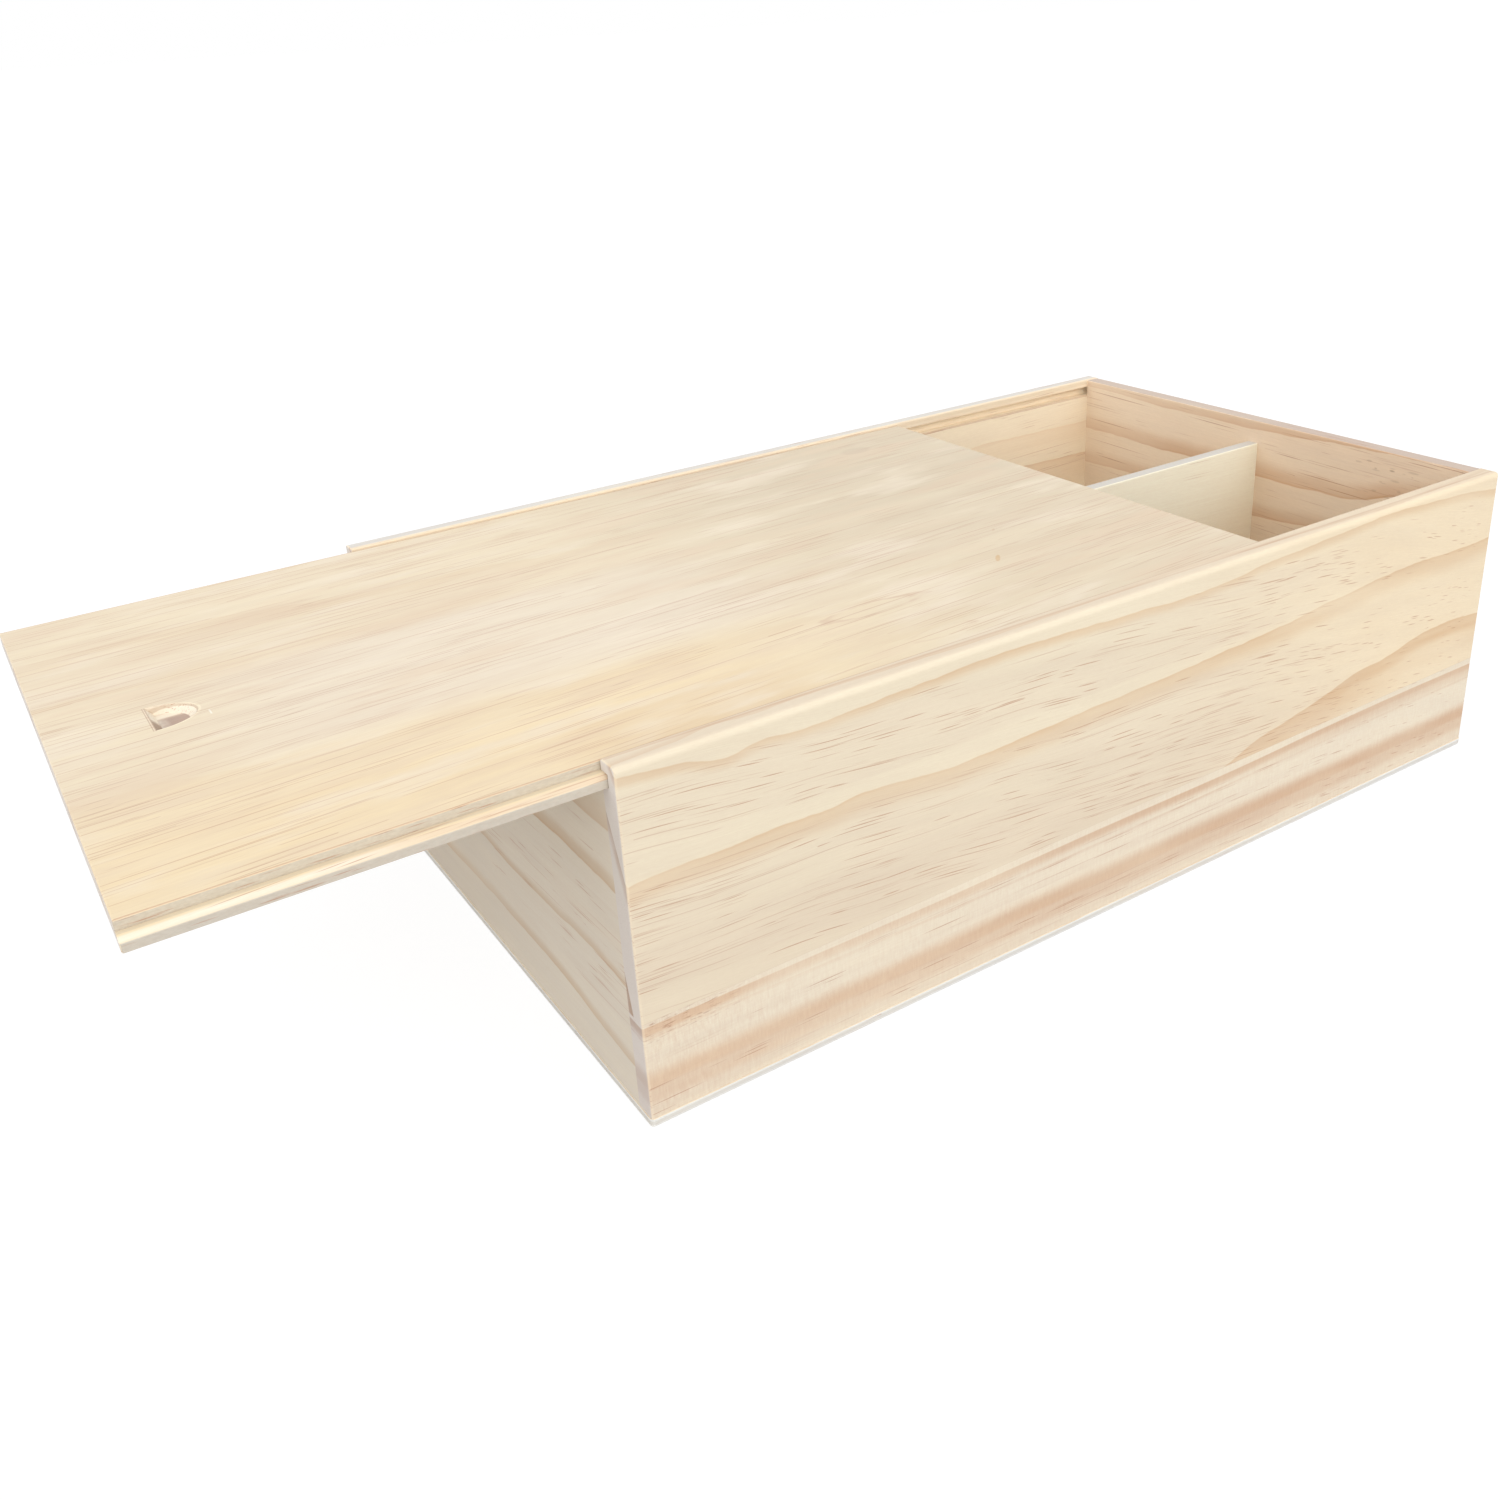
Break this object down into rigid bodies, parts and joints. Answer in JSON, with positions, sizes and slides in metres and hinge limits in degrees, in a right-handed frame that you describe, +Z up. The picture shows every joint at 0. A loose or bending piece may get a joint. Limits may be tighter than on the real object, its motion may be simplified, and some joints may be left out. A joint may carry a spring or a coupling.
{
  "type": "sliding lid wooden box",
  "caption": "Rectangular pine box divided lengthwise, with a flat lid that slides in grooves in the side walls and a thumb notch near the lid's front end.",
  "frame": {"origin": "centre of the box's underside, on the plane it stands on", "axes": "+X along the box towards its closed back end, so the lid is drawn out towards -X; +Y across the box towards the far side wall; +Z up"},
  "size_m": [0.4603, 0.2066, 0.108],
  "materials": {
    "bottom_plywood": "sanded, unfinished thin plywood",
    "side_pine": "sanded, unfinished pine",
    "end_pine": "sanded, unfinished pine",
    "divider_pine": "sanded, unfinished pine",
    "lid_pine": "sanded, unfinished pine",
    "pin_steel": "bright wire"
  },
  "bodies": {
    "box": {"bottom_panel": "bottom_plywood", "near_side_wall": "side_pine", "far_side_wall": "side_pine", "front_end_panel": "end_pine", "back_end_panel": "end_pine", "divider": "divider_pine", "bottom_pins": "pin_steel"},
    "lid": {"sliding_lid": "lid_pine"}
  },
  "joints": [
    {"name": "lid_slide", "type": "slide", "parent": "box", "child": "lid", "axis": [-1, 0, 0], "range_m": [-0.109, 0.2355]}
  ]
}
